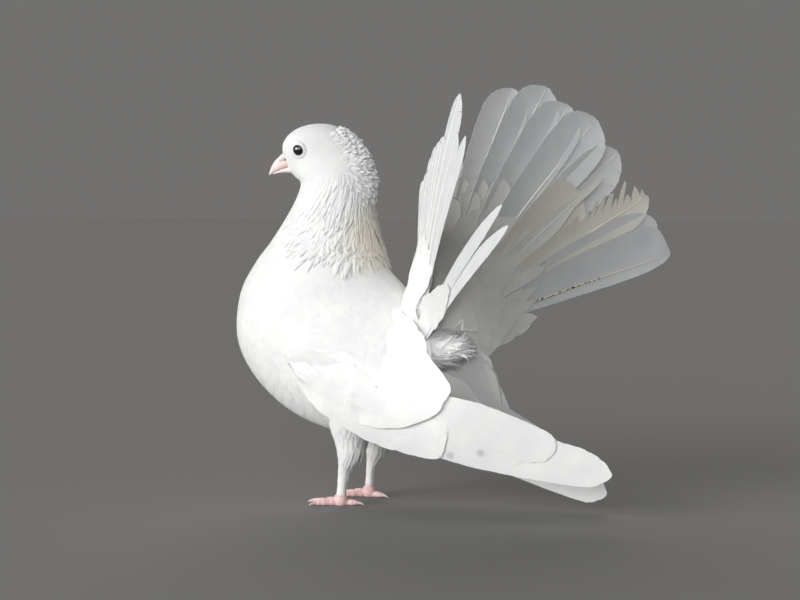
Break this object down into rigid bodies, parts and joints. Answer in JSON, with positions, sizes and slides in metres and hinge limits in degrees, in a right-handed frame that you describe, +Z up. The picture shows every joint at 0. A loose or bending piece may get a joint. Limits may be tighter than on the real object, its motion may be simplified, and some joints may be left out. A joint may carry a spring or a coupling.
{
  "type": "indian fantail pigeon model",
  "caption": "White Indian fantail pigeon, a still standing model with raised fan tail, rough neck feathers and drooped wings.",
  "frame": {"origin": "bottom centre of the bird's box, on the floor under it, level with the soles", "axes": "+Z up, -X the way the breast faces, +Y towards the bird's right side"},
  "size_m": [0.2486, 0.2656, 0.2529],
  "materials": {
    "plumage": "matt white feathers",
    "tail_plumage": "matt white feathers that let some light through",
    "bill": "pale pink horn, satin",
    "cere": "powdery white-pink skin",
    "eye": "black, wet and glossy",
    "foot": "pink scaled skin",
    "claw": "pale horn"
  },
  "bodies": {
    "root": {"torso": "plumage", "neck": "plumage", "head": "plumage", "eye_left": "eye", "eye_right": "eye", "upper_bill": "bill", "lower_bill": "bill", "cere": "cere", "wing_left": "plumage", "wing_right": "plumage", "tail_coverts": "plumage", "undertail": "plumage", "tail_left": "tail_plumage", "tail_right": "tail_plumage", "thigh_left": "plumage", "thigh_right": "plumage", "shank_left": "plumage", "shank_right": "plumage", "foot_left": "foot", "foot_right": "foot", "claw_left_1": "claw", "claw_left_2": "claw", "claw_left_3": "claw", "claw_left_4": "claw", "claw_right_1": "claw", "claw_right_2": "claw", "claw_right_3": "claw", "claw_right_4": "claw"}
  },
  "joints": []
}
